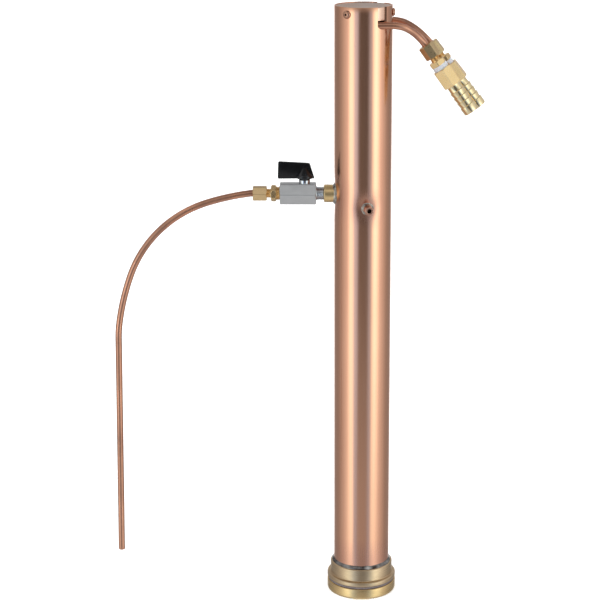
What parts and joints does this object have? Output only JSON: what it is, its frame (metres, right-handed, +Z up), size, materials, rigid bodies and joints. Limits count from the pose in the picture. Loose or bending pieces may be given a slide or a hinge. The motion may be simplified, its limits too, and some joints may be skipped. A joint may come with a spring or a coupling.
{
  "type": "reflux column head",
  "caption": "Copper reflux column head with a coil condenser, a take-off ball valve with a bent outlet pipe, barbed coolant fittings and a threaded brass base.",
  "frame": {"origin": "on the column's axis, at the mouth of the boiler thread in the bottom face of the base ring", "axes": "+Z up along the column, -Y is the front with the thermometer port, the take-off valve points along -X, the coolant pipes leave towards +X"},
  "size_m": [0.3563, 0.0707, 0.5785],
  "materials": {
    "copper_satin": "satin brushed copper",
    "copper_pipe": "drawn copper, lightly darkened",
    "cap_metal": "turned and brushed, greyish copper",
    "screw_copper": "copper plated",
    "copper_mesh": "knitted copper mesh",
    "brass_antique": "antique satin brass",
    "brass_golden": "polished brass",
    "brass_satin": "satin brass",
    "solder": "dark solder",
    "nickel_satin": "satin nickel plate",
    "chrome": "chrome",
    "lever_black": "gloss black",
    "gasket": "black rubber",
    "ptfe": "white PTFE"
  },
  "bodies": {
    "column": {"column_tube": "copper_satin", "top_cap": "cap_metal", "cap_screws": "screw_copper", "thermometer_port": "copper_pipe", "port_solder": "solder", "base_ring": "brass_golden", "base_gasket": "gasket", "base_collar": "brass_antique", "base_solder": "solder", "packing_screen": "copper_mesh", "mesh_packing": "copper_mesh", "lower_slant_plate": "copper_pipe", "upper_slant_plate": "copper_pipe", "condenser_coil": "copper_pipe", "valve_boss": "brass_antique", "boss_solder": "solder", "valve_nipple": "chrome", "valve_body": "nickel_satin", "stem_gland": "chrome", "valve_seats": "ptfe", "takeoff_pipe": "copper_pipe", "takeoff_nut": "brass_satin", "takeoff_olive": "brass_satin", "takeoff_adaptor": "brass_satin", "coolant_a_nut": "brass_satin", "coolant_a_olive": "brass_satin", "coolant_a_adaptor": "brass_satin", "coolant_b_nut": "brass_satin", "coolant_b_olive": "brass_satin", "coolant_b_adaptor": "brass_satin", "ptfe_tape_a": "ptfe", "ptfe_tape_b": "ptfe", "hose_barb_a": "brass_satin", "hose_barb_b": "brass_satin", "coolant_pipe_a": "copper_pipe", "coolant_pipe_b": "copper_pipe"},
    "valve_handle": {"valve_ball": "chrome", "valve_stem": "chrome", "stem_o_ring": "gasket", "valve_lever": "lever_black"}
  },
  "joints": [
    {"name": "valve_turn", "type": "hinge", "parent": "column", "child": "valve_handle", "pos_m": [-0.0548, 0, 0.41], "axis": [0, 0, 1], "range_deg": [-90, 0]}
  ]
}
